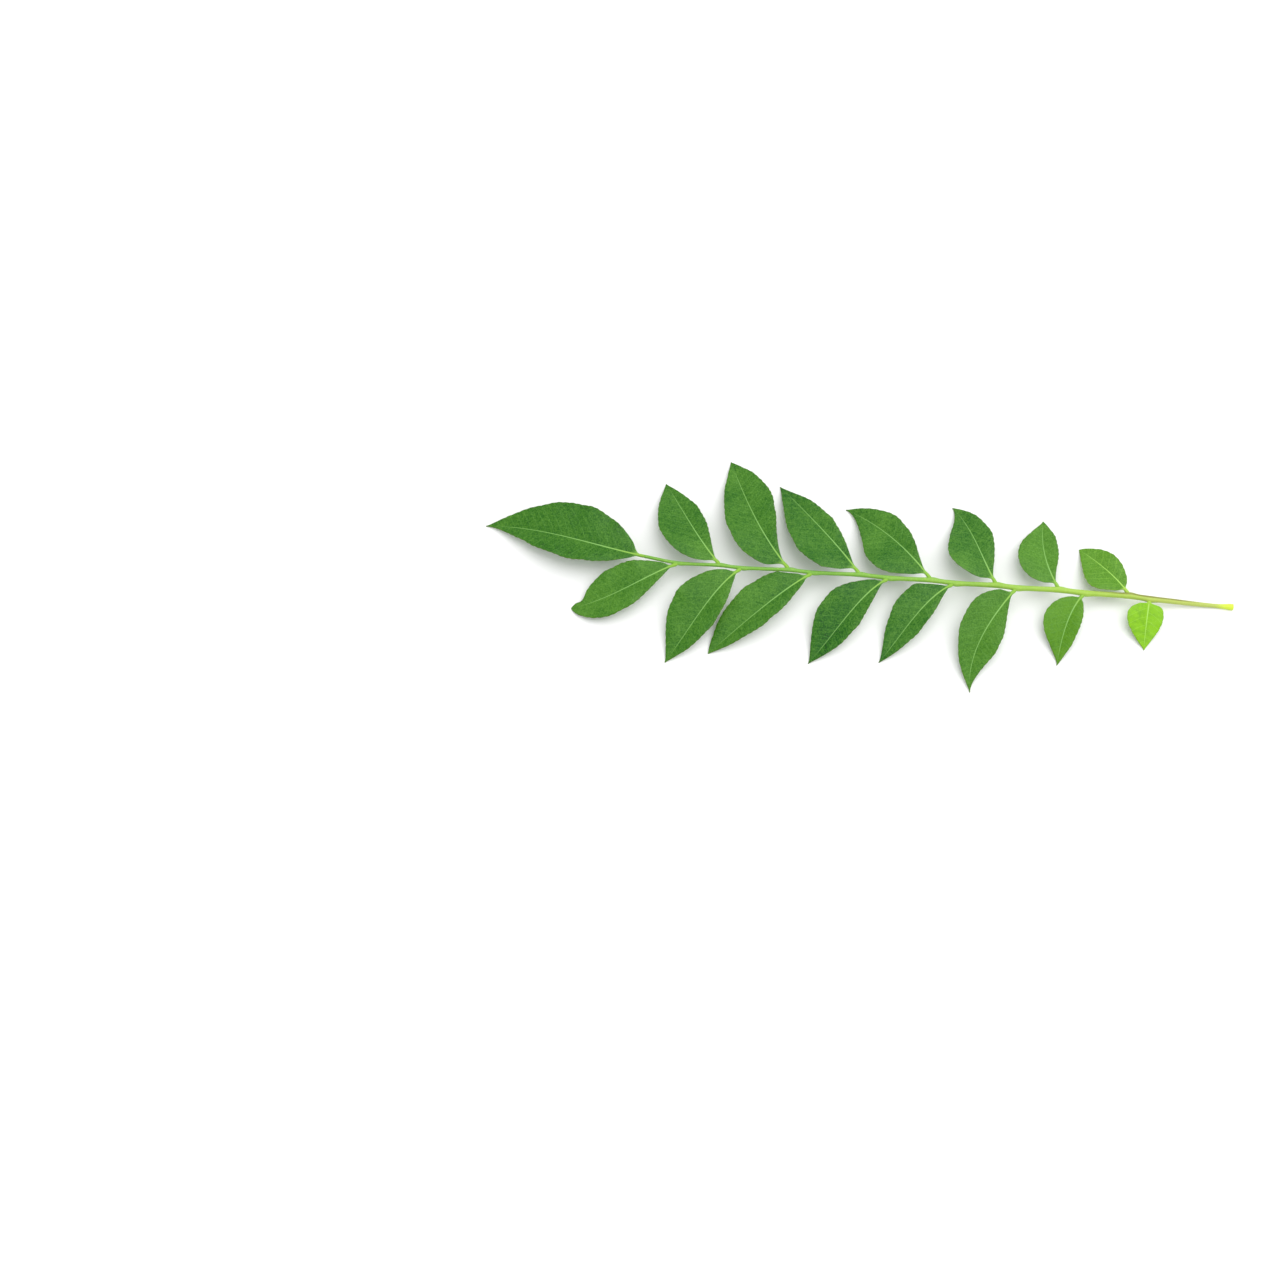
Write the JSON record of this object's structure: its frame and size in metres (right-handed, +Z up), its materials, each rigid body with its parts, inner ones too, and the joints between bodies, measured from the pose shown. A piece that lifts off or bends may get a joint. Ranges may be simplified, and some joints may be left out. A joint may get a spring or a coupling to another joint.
{
  "type": "curry leaf sprig",
  "caption": "Cut curry leaf sprig lying flat: a slender green rachis with alternate, oblique, pointed leaflets along both sides and one at its tip.",
  "frame": {"origin": "on the surface that the sprig lies on, under the middle of its outer box", "axes": "+X along the sprig towards its cut end, +Y towards its right-hand leaflets, +Z up off the surface"},
  "size_m": [0.2421, 0.0741, 0.0099],
  "materials": {
    "rachis": "satin pale yellow-green stalk, browner on top, nearly white-green at the cut",
    "leaf": "satin mid green blade with pale midrib, faint side veins and fine oil gland dots",
    "young_leaf": "satin bright yellow-green blade with pale midrib and fine oil gland dots"
  },
  "bodies": {
    "root": {"rachis": "rachis", "leaflet_right_1": "young_leaf", "leaflet_right_2": "leaf", "leaflet_right_3": "leaf", "leaflet_right_4": "leaf", "leaflet_right_5": "leaf", "leaflet_right_6": "leaf", "leaflet_right_7": "leaf", "leaflet_left_1": "young_leaf", "leaflet_left_2": "leaf", "leaflet_left_3": "leaf", "leaflet_left_4": "leaf", "leaflet_left_5": "leaf", "leaflet_left_6": "leaf", "leaflet_left_7": "leaf", "leaflet_left_8": "leaf", "leaflet_terminal": "leaf"}
  },
  "joints": []
}
